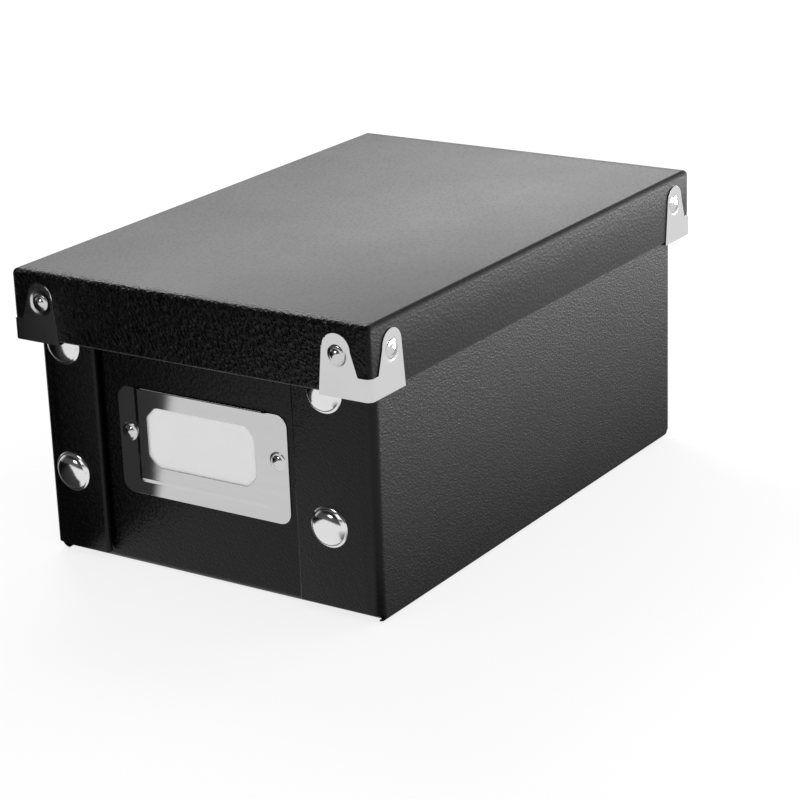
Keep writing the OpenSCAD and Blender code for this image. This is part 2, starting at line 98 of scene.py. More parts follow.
# %% [markdown]
# ## Helpers for node trees
# Materials and repeated pieces are both made of nodes. One small helper adds a node, sets what is a
# plain value and links what is a socket, so that a tree reads from top to bottom like a recipe. Shorter
# helpers stand beside it for the nodes that come up most: sums, ranges, mixes and parts of a vector.
# Two more start a material with its shader, and link to that shader what was worked out for it.


# %% Helpers that add nodes
def add_node(tree, kind, links=None, **settings):
    node = tree.nodes.new(kind)
    for name, value in settings.items():
        setattr(node, name, value)
    for name, value in (links or {}).items():
        if isinstance(value, bpy.types.NodeSocket):
            tree.links.new(value, node.inputs[name])
        else:
            node.inputs[name].default_value = value
    return node


def add_math(tree, operation, first, second=0.0, clamp=False):
    node = add_node(tree, "ShaderNodeMath", {0: first, 1: second}, operation=operation, use_clamp=clamp)
    return node.outputs[0]


def product(tree, first, *others):
    for value in others:
        first = add_math(tree, "MULTIPLY", first, value)
    return first


def vector_math(tree, operation, first, second=(0, 0, 0)):
    """One step of vector arithmetic; a dot product puts out its number."""
    node = add_node(tree, "ShaderNodeVectorMath", {0: first, 1: second}, operation=operation)
    return node.outputs["Value" if operation == "DOT_PRODUCT" else "Vector"]


def axis_values(tree, vector):
    return add_node(tree, "ShaderNodeSeparateXYZ", {0: vector}).outputs


def map_range(tree, value, start, stop, low=0.0, high=1.0, soft=False):
    """Runs from low to high while the value runs from start to stop; soft eases both ends."""
    node = add_node(tree, "ShaderNodeMapRange", {"Value": value, "From Min": start, "From Max": stop,
                                                 "To Min": low, "To Max": high},
                    interpolation_type="SMOOTHSTEP" if soft else "LINEAR")
    return node.outputs[0]


def mix_values(tree, mask, first, second):
    node = add_node(tree, "ShaderNodeMix", {"Factor": mask, 2: first, 3: second}, data_type="FLOAT")
    return node.outputs[0]


def mix_colours(tree, mask, first, second):
    node = add_node(tree, "ShaderNodeMix", {"Factor": mask, 6: first, 7: second}, data_type="RGBA")
    return node.outputs[2]


def new_group(name, kind, inputs, outputs):
    """A node group with named sockets; inputs and outputs are lists of (name, socket type, default)."""
    tree = bpy.data.node_groups.new(name, kind)
    for in_out, sockets in (("INPUT", inputs), ("OUTPUT", outputs)):
        for label, socket_type, default in sockets:
            socket = tree.interface.new_socket(label, in_out=in_out, socket_type=socket_type)
            if default is not None:
                socket.default_value = default
    start, end = tree.nodes.new("NodeGroupInput"), tree.nodes.new("NodeGroupOutput")
    return tree, start.outputs, end.inputs


# %% Helpers that start and end a material
def blank_nodes(owner):
    """Empties the node tree of a material or of the world."""
    owner.use_nodes = True
    owner.node_tree.nodes.clear()
    return owner.node_tree


def start_material(name):
    material = bpy.data.materials.new(name)
    tree = blank_nodes(material)
    shader = add_node(tree, "ShaderNodeBsdfPrincipled")
    add_node(tree, "ShaderNodeOutputMaterial", {"Surface": shader.outputs[0]})
    return material, tree, shader.inputs, add_node(tree, "ShaderNodeTexCoord").outputs


def end_material(tree, shader, colour, roughness, height, bump_mm, strength=1.0):
    """Links what was worked out for colour, roughness and relief to the shader."""
    bump = add_node(tree, "ShaderNodeBump", {"Height": height, "Distance": bump_mm * MM,
                                             "Strength": strength})
    for name, socket in {"Base Color": colour, "Roughness": roughness, "Normal": bump.outputs[0]}.items():
        tree.links.new(socket, shader[name])


def grey(tone):
    return (tone, tone, tone, 1)


# %% [markdown]
# ## Shared effects
# The cover is an embossed sheet. Two things make its grain: small pebbles, and thin raised wrinkles that
# wander between larger cells. Pebbles are domes on Voronoi cells, wrinkles follow the edges of bigger
# cells, and a slower noise bends these, because real grain never runs straight. The group puts out one
# height for the bump and a mask of the wrinkles, which are rubbed a little smoother than the rest.

# %% Group for the embossed grain
FLOAT, VECTOR = "NodeSocketFloat", "NodeSocketVector"
BENDS_PER_CELL = 0.7
WRINKLE_WIDTH = 0.32

grain_group, grain_in, grain_out = new_group(
    "embossed_grain", "ShaderNodeTree",
    [("Vector", VECTOR, None), ("Wrinkles per Metre", FLOAT, 400.0), ("Pebbles per Metre", FLOAT, 1100.0),
     ("Bend", FLOAT, 1.2), ("Pebble Share", FLOAT, 0.5)],
    [("Height", FLOAT, None), ("Wrinkles", FLOAT, None)])


def scaled_vector(tree, vector, scale):
    return add_node(tree, "ShaderNodeVectorMath", {0: vector, 3: scale}, operation="SCALE").outputs[0]


large = scaled_vector(grain_group, grain_in["Vector"], grain_in["Wrinkles per Metre"])
slow_noise = add_node(grain_group, "ShaderNodeTexNoise", {"Vector": large, "Scale": BENDS_PER_CELL,
                                                          "Detail": 3.0})
centred = vector_math(grain_group, "SUBTRACT", slow_noise.outputs["Color"], (0.5, 0.5, 0.5))
bent = vector_math(grain_group, "ADD", large, scaled_vector(grain_group, centred, grain_in["Bend"]))
edges = add_node(grain_group, "ShaderNodeTexVoronoi", {"Vector": bent, "Scale": 1.0},
                 feature="DISTANCE_TO_EDGE").outputs["Distance"]
wrinkles = map_range(grain_group, edges, 0.0, WRINKLE_WIDTH, 1.0, 0.0, soft=True)
small = scaled_vector(grain_group, grain_in["Vector"], grain_in["Pebbles per Metre"])
domes = add_node(grain_group, "ShaderNodeTexVoronoi", {"Vector": small, "Scale": 1.0}, feature="SMOOTH_F1")
pebbles = add_math(grain_group, "SUBTRACT", 1.0, domes.outputs["Distance"], clamp=True)
height = mix_values(grain_group, grain_in["Pebble Share"], wrinkles, pebbles)
grain_group.links.new(height, grain_out["Height"])
grain_group.links.new(wrinkles, grain_out["Wrinkles"])
print("group made:", grain_group.name)

# %% [markdown]
# A second group gives cloudy handling marks, a slow noise for uneven sheen. The covers and the metals
# use it with their own values.

# %% Group for handling marks
marks_group, marks_in, marks_out = new_group(
    "handling_marks", "ShaderNodeTree",
    [("Vector", VECTOR, None), ("Clouds per Metre", FLOAT, 25.0)], [("Clouds", FLOAT, None)])
slow_clouds = add_node(marks_group, "ShaderNodeTexNoise", {"Vector": marks_in["Vector"], "Detail": 4.0,
                                                           "Scale": marks_in["Clouds per Metre"]})
marks_group.links.new(slow_clouds.outputs["Fac"], marks_out["Clouds"])
print("group made:", marks_group.name)

# %% [markdown]
# A third group says where a cover gets two marks: a painted highlight, paler along the lid's lower edge
# where light would catch the rounded hem, and opened grain where the sheet is pulled over the front and
# the rear edge. Both follow from the place on the piece.

# %% Group for the painted edge highlight and the opened grain
# Width of the painted highlight along the lid's lower edge.
EDGE_HIGHLIGHT_WIDTH = 0.9 * MM
OPENED_WIDTH = 8 * MM
highlight_and_grain_group, highlight_and_grain_in, highlight_and_grain_out = new_group(
    "painted_edge_highlight_and_opened_grain", "ShaderNodeTree",
    [("Vector", VECTOR, None), ("Edge Height", FLOAT, 0.09), ("Opening Depth", FLOAT, 0.12)],
    [("Painted Edge Highlight", FLOAT, None), ("Opened", FLOAT, None)])
where = axis_values(highlight_and_grain_group, highlight_and_grain_in["Vector"])
over_edge = add_math(highlight_and_grain_group, "SUBTRACT", where["Z"], highlight_and_grain_in["Edge Height"])
# Painted highlight: 1 in a thin band at the lid's lower edge, where the colour is painted paler for light
# caught by the hem.
edge_highlight = map_range(highlight_and_grain_group, add_math(highlight_and_grain_group, "ABSOLUTE", over_edge), 0.0, EDGE_HIGHLIGHT_WIDTH, 1.0, 0.0)
from_middle = add_math(highlight_and_grain_group, "ABSOLUTE", where["Y"])
from_end = add_math(highlight_and_grain_group, "SUBTRACT", highlight_and_grain_in["Opening Depth"], from_middle)
opened = map_range(highlight_and_grain_group, from_end, 0.0, OPENED_WIDTH, 1.0, 0.0, soft=True)
highlight_and_grain_group.links.new(edge_highlight, highlight_and_grain_out["Painted Edge Highlight"])
highlight_and_grain_group.links.new(opened, highlight_and_grain_out["Opened"])
print("group made:", highlight_and_grain_group.name)

# %% [markdown]
# ## The black grained cover
# The cover is nearly black and only shows by what it reflects: dull from the front, bright where it is
# seen at a low angle. That is why the lid's top looks grey in the picture. The Principled shader does
# this by itself with a low index of refraction and a middling roughness; painting it grey would only be
# right from one side. The grain is turned and stretched a little, as the creases in the picture lean,
# and how deep it stands depends on which way a face points: deep at the front and the rear, faint on
# top. The sheet is duller where it bends over a long edge, and shinier at both ends, from handling.
# Along the lid's lower edge the colour is painted paler, a painted highlight for light caught by the hem.

# %% Cover materials
LID_GRAIN_KEPT = (0.1, 1.0, 0.007)
BASE_GRAIN_KEPT = (0.42, 0.5, 0.012)
GRAIN_LEAN = math.radians(-48)
GRAIN_STRETCH = (0.7, 1.2, 1.7)
EDGE_GRAIN = 0.6
DYE_DARK, DYE_LIGHT = 0.0006, 0.0018
CLOUD_ROUGHNESS = 0.03
WRINKLE_ROUGHNESS = -0.04
PULLED_ROUGHNESS = 0.3
PULL_GAIN = 4.0
HANDLED_ROUGHNESS = -0.13


def grained_cover(name, wrinkles_per_metre, pebbles_per_metre, pebble_share, bump_mm, grain_kept, roughness,
                  ior, edge_highlight_tone):
    material, tree, shader, given = start_material(name)
    place = given["Object"]
    lid_low, lid_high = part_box("lid_cover")
    leaning = add_node(tree, "ShaderNodeMapping", {"Vector": place, "Rotation": (0, GRAIN_LEAN, 0),
                                                   "Scale": GRAIN_STRETCH}, vector_type="TEXTURE").outputs[0]
    grain = add_node(tree, "ShaderNodeGroup", {"Vector": leaning, "Wrinkles per Metre": wrinkles_per_metre,
                                               "Pebbles per Metre": pebbles_per_metre,
                                               "Pebble Share": pebble_share}, node_tree=grain_group).outputs
    clouds = add_node(tree, "ShaderNodeGroup", {"Vector": place}, node_tree=marks_group).outputs[0]
    highlight_and_grain = add_node(tree, "ShaderNodeGroup", {"Vector": place, "Edge Height": lid_low.z,
                                              "Opening Depth": lid_high.y}, node_tree=highlight_and_grain_group).outputs
    dyed = mix_colours(tree, clouds, grey(DYE_DARK), grey(DYE_LIGHT))
    # Painted highlight: the colour turns paler along the lid's lower edge, for light caught by the hem.
    with_edge_highlight = mix_colours(tree, highlight_and_grain["Painted Edge Highlight"], dyed, grey(edge_highlight_tone))
    turned = vector_math(tree, "ABSOLUTE", given["Normal"])
    facing = axis_values(tree, turned)
    squared = vector_math(tree, "MULTIPLY", turned, turned)
    fourth = vector_math(tree, "MULTIPLY", squared, squared)
    pulled = add_math(tree, "MULTIPLY", product(tree, facing["X"], facing["Z"]), PULL_GAIN, clamp=True)
    rough = map_range(tree, clouds, 0.0, 1.0, roughness - CLOUD_ROUGHNESS, roughness + CLOUD_ROUGHNESS)
    for mask, change in ((grain["Wrinkles"], WRINKLE_ROUGHNESS), (pulled, PULLED_ROUGHNESS),
                         (axis_values(tree, fourth)["Y"], HANDLED_ROUGHNESS)):
        rough = add_math(tree, "ADD", rough, map_range(tree, mask, 0.0, 1.0, 0.0, change))
    kept = vector_math(tree, "DOT_PRODUCT", fourth, grain_kept)
    opened = product(tree, highlight_and_grain["Opened"], EDGE_GRAIN, facing["Z"])
    strength = add_math(tree, "ADD", kept, opened, clamp=True)
    end_material(tree, shader, with_edge_highlight, rough, grain["Height"], bump_mm, strength)
    shader["IOR"].default_value = ior
    return material


# The last value of each is the grey of the painted highlight along the lid's lower edge.
lid_cover_finish = grained_cover("lid_cover_black", wrinkles_per_metre=480, pebbles_per_metre=1300,
                                 pebble_share=0.3, bump_mm=0.75, grain_kept=LID_GRAIN_KEPT, roughness=0.4,
                                 ior=1.26, edge_highlight_tone=0.09)
base_cover_finish = grained_cover("base_cover_black", wrinkles_per_metre=600, pebbles_per_metre=1500,
                                  pebble_share=0.6, bump_mm=0.26, grain_kept=BASE_GRAIN_KEPT,
                                  roughness=0.42, ior=1.3, edge_highlight_tone=0.006)
print("cover materials:", lid_cover_finish.name, base_cover_finish.name)

# %% [markdown]
# ## Metal, paper and board
# The corner plates, rivets and snaps are bright nickel: a metallic shader with faint clouds in its
# roughness, which is what keeps plated sheet from looking like a perfect mirror. The label holder has
# fine drawn lines, so its noise is stretched along the sheet. Paper and board get a fine noise of fibres,
# at different scales.

# %% Metal materials
METAL_CLOUDS = 60
DARKER_TONE = 0.9
SHINIER, DULLER = 0.7, 1.3
EVEN, DRAWN = (1, 1, 1), (0.4, 1, 3)


def plated_metal(name, tone, roughness, stretch, bump_mm):
    material, tree, shader, given = start_material(name)
    drawn = add_node(tree, "ShaderNodeMapping", {"Vector": given["Object"], "Scale": stretch}).outputs[0]
    clouds = add_node(tree, "ShaderNodeGroup", {"Vector": drawn, "Clouds per Metre": METAL_CLOUDS},
                      node_tree=marks_group).outputs[0]
    colour = mix_colours(tree, clouds, grey(tone), grey(tone * DARKER_TONE))
    rough = map_range(tree, clouds, 0.0, 1.0, roughness * SHINIER, roughness * DULLER)
    end_material(tree, shader, colour, rough, clouds, bump_mm)
    shader["Metallic"].default_value = 1.0
    return material


plate_finish = plated_metal("corner_plate_nickel", 0.64, 0.15, EVEN, 0.0006)
rivet_finish = plated_metal("rivet_nickel", 0.62, 0.16, EVEN, 0.001)
snap_finish = plated_metal("snap_nickel", 0.76, 0.14, EVEN, 0.001)
holder_finish = plated_metal("label_holder_tin", 0.57, 0.06, DRAWN, 0.0006)
print("metal materials:", plate_finish.name, rivet_finish.name, snap_finish.name, holder_finish.name)

# %% Paper and board materials
FIBRE_DETAIL, FIBRE_ROUGHNESS = 6.0, 0.7
PAPER_ROUGHNESS_SPREAD = 0.06


def pressed_paper(name, dark, light, fibres_per_metre, roughness, bump_mm):
    material, tree, shader, given = start_material(name)
    fibres = add_node(tree, "ShaderNodeTexNoise", {"Vector": given["Object"], "Scale": fibres_per_metre,
                                                   "Detail": FIBRE_DETAIL,
                                                   "Roughness": FIBRE_ROUGHNESS}).outputs["Fac"]
    rough = map_range(tree, fibres, 0.0, 1.0, roughness - PAPER_ROUGHNESS_SPREAD,
                      roughness + PAPER_ROUGHNESS_SPREAD)
    end_material(tree, shader, mix_colours(tree, fibres, dark, light), rough, fibres, bump_mm)
    return material


lining_finish = pressed_paper("lining_black", grey(0.01), grey(0.03), 700, 0.6, 0.04)
board_finish = pressed_paper("grey_board", (0.16, 0.15, 0.13, 1), (0.34, 0.32, 0.29, 1), 900, 0.85, 0.08)
card_finish = pressed_paper("label_card_white", grey(0.84), grey(0.92), 1200, 0.55, 0.01)
print("paper materials:", lining_finish.name, board_finish.name, card_finish.name)

# %% [markdown]
# ## Finishes for the solids that stay
# Boards, linings and hidden fasteners already have the right shape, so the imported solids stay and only
# get a finish. Every solid is given one here, also those that a softer piece replaces further down.

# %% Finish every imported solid
SLOT_FINISHES = {"cover": base_cover_finish, "lining": lining_finish, "board": board_finish,
                 "corner_plate": plate_finish, "rivet": rivet_finish, "snap": snap_finish,
                 "holder": holder_finish, "card": card_finish}
NAME_ENDINGS = {"_board": "board", "_lining": "lining", "_cover": "cover", "_crease": "cover",
                "_plate": "corner_plate", "_rivets": "rivet", "_caps": "snap", "_sockets": "snap",
                "_studs": "snap", "_posts": "snap", "_holder": "holder", "_card": "card"}

for node_name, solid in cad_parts.items():
    slot_name = next(slot for ending, slot in NAME_ENDINGS.items() if node_name.endswith(ending))
    solid.data.materials.clear()
    solid.data.materials.append(SLOT_FINISHES[slot_name])
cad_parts["lid_cover"].data.materials[0] = lid_cover_finish
print("solids finished:", len(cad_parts))

# %% [markdown]
# ## Turning outlines into pieces
# Most pieces are one outline carried along a path: round the lid, along a side, up a flap. The helper
# takes rings of points, each with the same count, skins from one to the next and closes both ends. A
# cube with a Bevel modifier would be quicker, but it can't follow the turned-in hem inside the lid.

# %% Helpers for outlines and skins
SMOOTH_ANGLE = math.radians(40)
ARC_STEPS = 6
SAME_POINT = 1e-7


def arc_points(centre, radius, first_degrees, last_degrees, steps=ARC_STEPS):
    """Points on an arc in a plane, both ends included."""
    turns = [math.radians(first_degrees + (last_degrees - first_degrees) * step / steps)
             for step in range(steps + 1)]
    return [(centre[0] + radius * math.cos(turn), centre[1] + radius * math.sin(turn)) for turn in turns]


def ease(share):
    """Turns a share from 0 to 1 into one that starts and ends gently."""
    return share * share * (3 - 2 * share)


def finished_mesh(shell, name):
    """The plain mesh of a bmesh, which is freed."""
    mesh = bpy.data.meshes.new(name)
    shell.to_mesh(mesh)
    shell.free()
    return mesh


def skin_rings(name, rings):
    """A closed mesh through rings of points, with an end face on the first and on the last ring."""
    shell = bmesh.new()
    loops = [[shell.verts.new(point) for point in ring] for ring in rings]
    count = len(loops[0])
    for lower, upper in zip(loops, loops[1:]):
        for corner in range(count):
            following = (corner + 1) % count
            shell.faces.new((lower[corner], lower[following], upper[following], upper[corner]))
    shell.faces.new(loops[0])
    shell.faces.new(loops[-1])
    bmesh.ops.remove_doubles(shell, verts=shell.verts, dist=SAME_POINT)
    bmesh.ops.recalc_face_normals(shell, faces=shell.faces)
    return finished_mesh(shell, name)


def add_piece(name, mesh, finish):
    """Puts a mesh into the scene at the origin, smooth where its faces turn gently."""
    mesh.materials.clear()
    mesh.materials.append(finish)
    mesh.shade_smooth()
    mesh.set_sharp_from_angle(angle=SMOOTH_ANGLE)
    piece = bpy.data.objects.new(name, mesh)
    bpy.context.scene.collection.objects.link(piece)
    return piece


def mount_piece(piece, body, slot_name, *nodes):
    """The piece rides on its body and stands for these solids."""
    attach(piece, body)
    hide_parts(*nodes)
    print(piece.name, "on", body, "with", len(piece.data.polygons), "faces")


# %% [markdown]
# ## Lid cover
# One sheet of cover is pulled over the lid's boards, down the skirt, round its lower edge and up inside
# as a hem. The section of that sheet is drawn once, as distance from the outside and height, and taken
# round a rectangle with soft corners. Where the section goes further in, the corners get tighter.

# %% Lid cover
CORNER_STEPS = 8
COVER_THICK = 0.4 * MM
LID_WALL = 2.4 * MM
LID_EDGE_RADIUS = 2.2 * MM
LOW_EDGE_RADIUS = 0.9 * MM
HEM_HEIGHT = 8 * MM
SHARPEST_CORNER = 0.05 * MM


def soft_rectangle(half_width, half_depth, radius, height):
    ring = []
    for quarter, (side, end) in enumerate(((1, 1), (-1, 1), (-1, -1), (1, -1))):
        middle = (side * (half_width - radius), end * (half_depth - radius))
        corner = arc_points(middle, radius, 90 * quarter, 90 * quarter + 90, CORNER_STEPS)
        ring += [Vector((x, y, height)) for x, y in corner]
    return ring


def lid_section(low, top):
    """The cover's section as (distance inwards, height), from the top's middle to the underside's."""
    round_top = (LID_EDGE_RADIUS, top - LID_EDGE_RADIUS)
    low_outer = (LOW_EDGE_RADIUS, low + LOW_EDGE_RADIUS)
    low_inner = (LID_WALL - LOW_EDGE_RADIUS, low + LOW_EDGE_RADIUS)
    hem_top, hem_inside = low + HEM_HEIGHT, LID_WALL - COVER_THICK
    section = arc_points(round_top, LID_EDGE_RADIUS, 90, 180)
    section += arc_points(low_outer, LOW_EDGE_RADIUS, 180, 270)
    section += arc_points(low_inner, LOW_EDGE_RADIUS, 270, 360)
    section += [(LID_WALL, hem_top), (hem_inside, hem_top), (hem_inside, low + COVER_THICK),
                (COVER_THICK, low + COVER_THICK)]
    return section + arc_points(round_top, LID_EDGE_RADIUS - COVER_THICK, 180, 90)


lid_low, lid_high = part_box("lid_cover")
lid_rings = [soft_rectangle(lid_high.x - inwards, lid_high.y - inwards,
                            max(LID_EDGE_RADIUS - inwards, SHARPEST_CORNER), height)
             for inwards, height in lid_section(lid_low.z, lid_high.z)]
lid_cover = add_piece("lid_wrapped_cover", skin_rings("lid_wrapped_cover", lid_rings), lid_cover_finish)
mount_piece(lid_cover, "lid", "cover", "lid_cover")

# %% [markdown]
# ## Long sides of the base
# The same cover runs from under the box round a soft crease, up the long side, over its top edge and
# down inside as a hem. This section is the same all along the side, so two rings are enough.

# %% Long side covers
TOP_EDGE_RADIUS = 1.1 * MM
SKIN_THICK = 0.6 * MM
SIDE_CREASE_STEPS = 10


def side_section(side, low, high, crease_radius):
    """The cover's section across the box, for one long side, as (x, z)."""
    outside, inside = high.x, low.x
    crease_middle = (outside - crease_radius, low.z + crease_radius)
    top = high.z
    section = arc_points(crease_middle, crease_radius, 270, 360, SIDE_CREASE_STEPS)
    section += arc_points((outside - TOP_EDGE_RADIUS, top - TOP_EDGE_RADIUS), TOP_EDGE_RADIUS, 0, 90)
    section += arc_points((inside + TOP_EDGE_RADIUS, top - TOP_EDGE_RADIUS), TOP_EDGE_RADIUS, 90, 180)
    section += [(inside, top - HEM_HEIGHT), (inside + COVER_THICK, top - HEM_HEIGHT),
                (inside + COVER_THICK, top - COVER_THICK), (outside - COVER_THICK, top - COVER_THICK)]
    section += arc_points(crease_middle, crease_radius - SKIN_THICK, 360, 270, SIDE_CREASE_STEPS)
    return [(side * x, z) for x, z in section]


def side_cover(side, word):
    cover_low, cover_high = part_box(f"{word}_side_cover")
    crease_low, crease_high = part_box(f"{word}_side_crease")
    if side == LEFT:
        cover_low.x, cover_high.x = -cover_high.x, -cover_low.x
    low = Vector((cover_low.x, cover_low.y, crease_low.z))
    crease_radius = crease_high.z - crease_low.z
    rings = [[Vector((x, y, z)) for x, z in side_section(side, low, cover_high, crease_radius)]
             for y in (cover_low.y, cover_high.y)]
    name = f"{word}_side_wrapped_cover"
    piece = add_piece(name, skin_rings(name, rings), base_cover_finish)
    mount_piece(piece, "base", "cover", f"{word}_side_cover", f"{word}_side_crease")


for side, word in ((LEFT, "left"), (RIGHT, "right")):
    side_cover(side, word)

# %% [markdown]
# ## Corner flaps and their creases
# A flap is a board wrapped all round, so its free edges are soft. Where it hangs on the long side the
# cover sinks between two boards, which shows as a darker upright band in the picture. The flap is
# drawn as seen from above, at the right of the front, and mirrored to the other corners.

# %% Corner flaps
FLAP_EDGE_RADIUS = 1.2 * MM
FLAP_FOOT_RADIUS = 0.6 * MM
BACK_EDGE_RADIUS = 0.4 * MM
SINK_DEPTH = 0.25 * MM
SINK_WIDTH = 4.5 * MM
SINK_STEPS = 8


def to_corner(side, end, x, y, z):
    """Takes a point drawn at the right of the front to any corner."""
    return Vector((side * x, -end * y, z))


def sink_at(distance):
    """How far the cover has sunk, by the distance from the crease."""
    return SINK_DEPTH * ease(max(0.0, 1 - distance / SINK_WIDTH))


def flap_outline(root, free_edge, face, back, inset):
    """A flap's outline seen from above; inset draws it smaller, for its soft top and foot."""
    radius = max(FLAP_EDGE_RADIUS - inset, SHARPEST_CORNER)
    edge, front, rear = free_edge + inset, face + inset, back - inset
    steps = [SINK_WIDTH * step / SINK_STEPS for step in range(SINK_STEPS + 1)]
    outline = [(root - step, front + sink_at(step)) for step in steps]
    outline += arc_points((edge + radius, front + radius), radius, 270, 180)
    radius = max(BACK_EDGE_RADIUS - inset, SHARPEST_CORNER)
    outline += arc_points((edge + radius, rear - radius), radius, 180, 90)
    return outline + [(root, rear)]


def corner_flap(side, end, words):
    low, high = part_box(f"{words}_flap_cover")
    free_edge = min(abs(low.x), abs(high.x))
    root = max(abs(low.x), abs(high.x))
    back, face = sorted((-abs(low.y), -abs(high.y)), reverse=True)
    soft = [(FLAP_FOOT_RADIUS - reach, FLAP_FOOT_RADIUS - rise)
            for reach, rise in arc_points((0, 0), FLAP_FOOT_RADIUS, 0, 90)]
    levels = [(inset, low.z + drop) for inset, drop in soft[::-1]]
    levels += [(inset, high.z - drop) for inset, drop in soft]
    rings = [[to_corner(side, end, x, y, z) for x, y in flap_outline(root, free_edge, face, back, inset)]
             for inset, z in levels]
    name = f"{words}_wrapped_flap"
    piece = add_piece(name, skin_rings(name, rings), base_cover_finish)
    mount_piece(piece, "base", "cover", f"{words}_flap_cover")


CORNERS = [(side, end, f"{end_word}_{side_word}") for side, side_word in ((LEFT, "left"), (RIGHT, "right"))
           for end, end_word in ((FRONT, "front"), (REAR, "rear"))]
for side, end, words in CORNERS:
    corner_flap(side, end, words)

# %% Upright corner creases
CREASE_STEPS = 14


def corner_crease(side, end, words):
    low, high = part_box(f"{words}_corner_crease")
    radius = abs(high.x - low.x)
    middle_x = max(abs(low.x), abs(high.x)) - radius
    middle_y = -max(abs(low.y), abs(high.y)) + radius
    outline = []
    for step in range(CREASE_STEPS + 1):
        turn = math.radians(-90 + 90 * step / CREASE_STEPS)
        reach = radius - sink_at(radius * (turn + math.radians(90)))
        outline.append((middle_x + reach * math.cos(turn), middle_y + reach * math.sin(turn)))
    outline += arc_points((middle_x, middle_y), radius - SKIN_THICK, 0, -90, CREASE_STEPS)
    rings = [[to_corner(side, end, x, y, z) for x, y in outline] for z in (low.z, high.z)]
    name = f"{words}_soft_corner"
    piece = add_piece(name, skin_rings(name, rings), base_cover_finish)
    mount_piece(piece, "base", "cover", f"{words}_corner_crease")


for side, end, words in CORNERS:
    corner_crease(side, end, words)

# %% [markdown]
# ## End panels
# Each end panel is a wrapped board with soft edges at its top and sides. Its foot runs into a crease of
# bare cover that joins it to the bottom. The crease is made as a piece of its own and rides on neither
# body.

# %% End panels
PANEL_EDGE_RADIUS = 0.7 * MM
BACK_INSET_SHARE = 0.4
LINING_SHOWS = 0.15 * MM


def panel_outline(half_width, face, back, front_radius):
    """A panel's outline seen from above, soft at the front and crisp at the back."""
    radius = BACK_EDGE_RADIUS
    outline = arc_points((half_width - front_radius, face + front_radius), front_radius, 270, 360)
    outline += arc_points((half_width - radius, back - radius), radius, 0, 90)
    outline += arc_points((radius - half_width, back - radius), radius, 90, 180)
    return outline + arc_points((front_radius - half_width, face + front_radius), front_radius, 180, 270)


def end_panel(end, word):
    low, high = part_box(f"{word}_panel_cover")
    face, back = sorted((-abs(low.y), -abs(high.y)))
    back -= LINING_SHOWS
    soft = arc_points((0, 0), PANEL_EDGE_RADIUS, 0, 90)
    levels = [(0.0, low.z)]
    levels += [(PANEL_EDGE_RADIUS - out, high.z - PANEL_EDGE_RADIUS + rise) for out, rise in soft]
    rings = []
    for inset, z in levels:
        radius = max(PANEL_EDGE_RADIUS - inset, SHARPEST_CORNER)
        outline = panel_outline(high.x - inset, face + inset, back - inset * BACK_INSET_SHARE, radius)
        rings.append([Vector((x, -end * y, z)) for x, y in outline])
    name = f"{word}_wrapped_panel"
    piece = add_piece(name, skin_rings(name, rings), base_cover_finish)
    mount_piece(piece, f"{word}_end", "cover", f"{word}_panel_cover")


# %% Fold creases, made together with their panels
FOLD_CREASE_STEPS = 12


def fold_crease(end, word):
    low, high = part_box(f"{word}_fold_crease")
    radius = high.z - low.z
    middle = (-max(abs(low.y), abs(high.y)) + radius, high.z)
    section = arc_points(middle, radius, 270, 180, FOLD_CREASE_STEPS)
    section += arc_points(middle, radius - SKIN_THICK, 180, 270, FOLD_CREASE_STEPS)
    rings = [[Vector((x, -end * y, z)) for y, z in section] for x in (low.x, high.x)]
    name = f"{word}_bending_crease"
    piece = add_piece(name, skin_rings(name, rings), base_cover_finish)
    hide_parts(f"{word}_fold_crease")
    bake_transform(piece)
    print(piece.name, "bends between base and", f"{word}_end")


for end, word in ((FRONT, "front"), (REAR, "rear")):
    end_panel(end, word)
    fold_crease(end, word)

# %% [markdown]
# ## Metal corners of the lid
# Each corner plate is one stamping: two ears, a strap round the corner and a lip under the edge. Its
# solid has the exact outline, so a merged copy of it is used, and a Bevel modifier gives the edges the
# tiny radius that a press leaves. That radius is what draws the thin bright line round each ear. Where a
# rivet was driven in, the sheet sank round its head. The places of the rivets come from their solids.

# %% Take the separate solids of a node
SAME_CAD_POINT = 1e-6


def merged_copy(node_name):
    """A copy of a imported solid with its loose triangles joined."""
    solid = bmesh.new()
    solid.from_mesh(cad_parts[node_name].data)
    bmesh.ops.remove_doubles(solid, verts=solid.verts, dist=SAME_CAD_POINT)
    return solid


def solid_boxes(node_name):
    """The lowest and highest corner of each separate solid of a node."""
    solid = merged_copy(node_name)
    seen, boxes = set(), []
    for first in solid.verts:
        if first in seen:
            continue
        island, reached = [], [first]
        seen.add(first)
        while reached:
            vertex = reached.pop()
            island.append(vertex.co.copy())
            neighbours = [edge.other_vert(vertex) for edge in vertex.link_edges]
            reached += [other for other in neighbours if other not in seen]
            seen.update(neighbours)
        boxes.append([Vector([limit(point[axis] for point in island) for axis in range(3)])
                      for limit in (min, max)])
    solid.free()
    return boxes


# %% Find the fasteners' seats in the frame
RIVET_HEAD = 1.2 * MM
RIVET_SUNK = 0.25 * MM


def fastener_seats(node_name, head_height, facing_out=True):
    """Where each head sits and which way it points: away from the box's middle, or towards it."""
    seats = []
    for low, high in solid_boxes(node_name):
        size, middle = high - low, (low + high) / 2
        axis = min(range(3), key=lambda number: size[number])
        outward = math.copysign(1, middle[axis]) * (1 if facing_out else -1)
        seat, facing = middle.copy(), Vector((0, 0, 0))
        facing[axis] = outward
        seat[axis] = (high[axis] if outward > 0 else low[axis]) - outward * head_height
        seats.append((seat, facing))
    return seats


corner_seats = fastener_seats("corner_rivets", RIVET_HEAD + RIVET_SUNK)
print("corner rivets found:", len(corner_seats))

# %% Dish round each rivet
DISH_CUTS = (0.0012, 0.0024, 0.003, 0.0034, 0.0038, 0.0042, 0.0046, 0.005, 0.0054)
DISH_RADIUS = 5.4 * MM
DISH_SLOPE = 2 * MM


